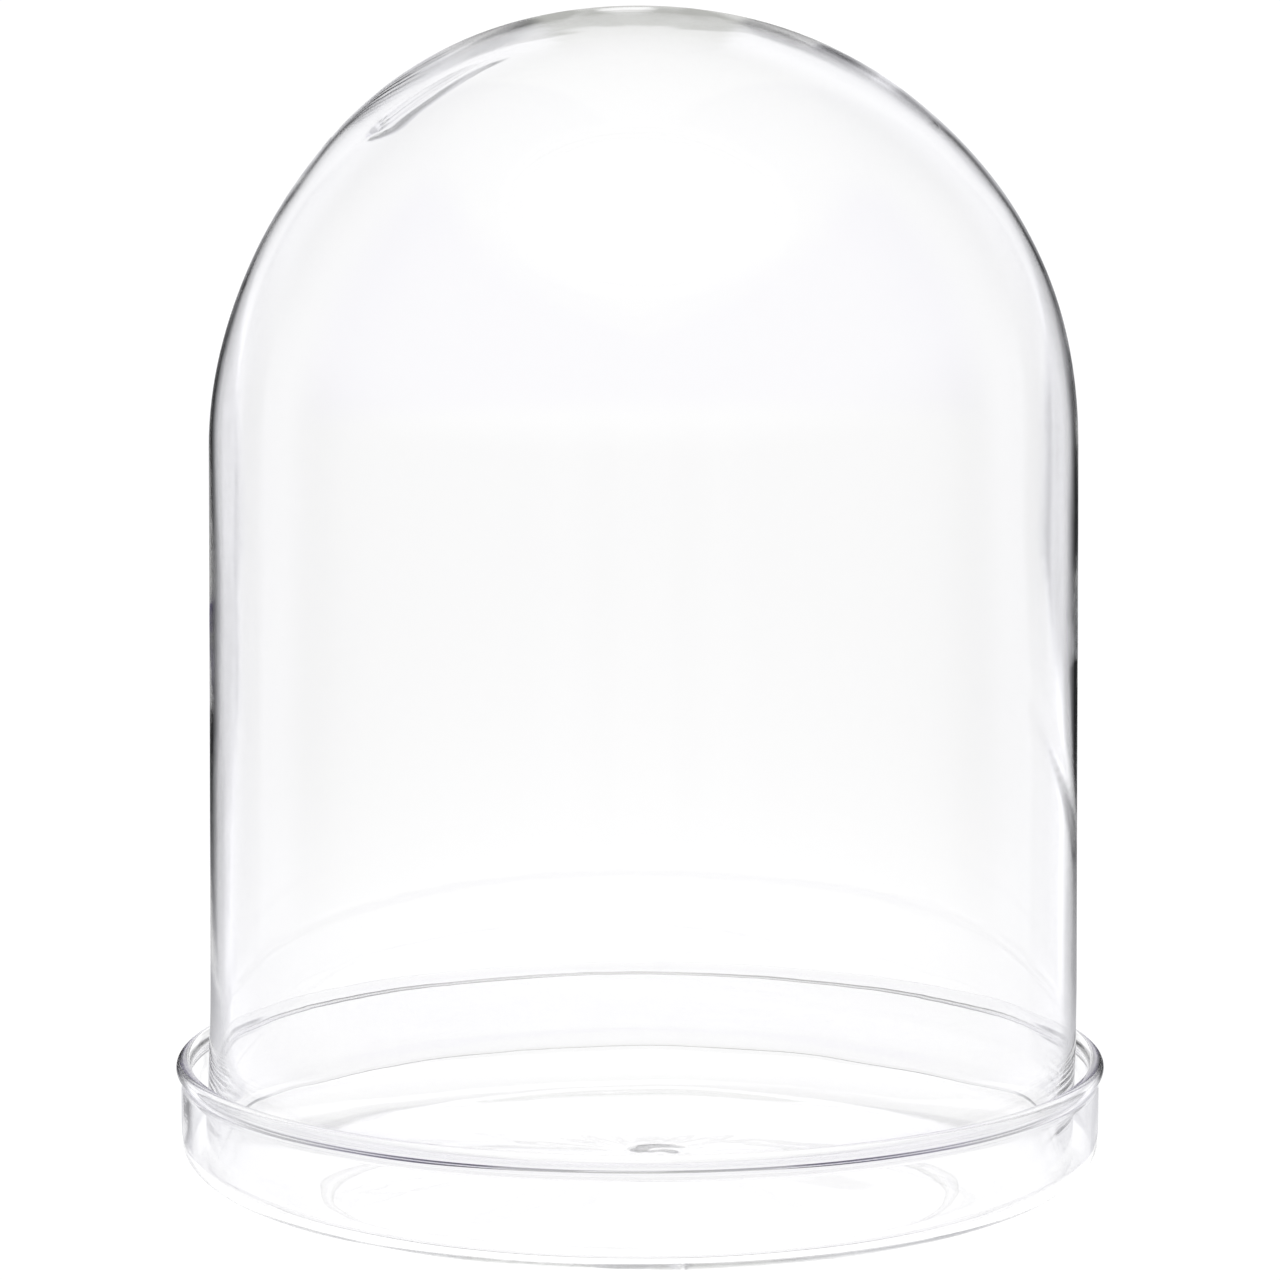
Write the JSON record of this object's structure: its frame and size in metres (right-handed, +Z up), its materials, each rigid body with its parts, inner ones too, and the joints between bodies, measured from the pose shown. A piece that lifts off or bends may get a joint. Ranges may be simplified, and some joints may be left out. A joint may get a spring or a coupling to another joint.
{
  "type": "glass cloche",
  "caption": "Round-topped clear glass bell standing loose in a shallow glass dish with a beaded rim; it covers a plant and lifts straight off.",
  "frame": {"origin": "centre of the dish's foot, on the surface that the cloche stands on", "axes": "+Z up, along the axis that the bell and the dish are round about"},
  "size_m": [0.24, 0.24, 0.301],
  "materials": {
    "bell_glass": "clear blown glass, fire polished",
    "dish_glass": "clear blown glass, fire-polished rim"
  },
  "bodies": {
    "dish": {"glass_dish": "dish_glass"},
    "bell": {"glass_bell": "bell_glass"}
  },
  "joints": [
    {"name": "bell_lift", "type": "slide", "parent": "dish", "child": "bell", "axis": [0, 0, 1], "range_m": [0, 0.3]}
  ]
}
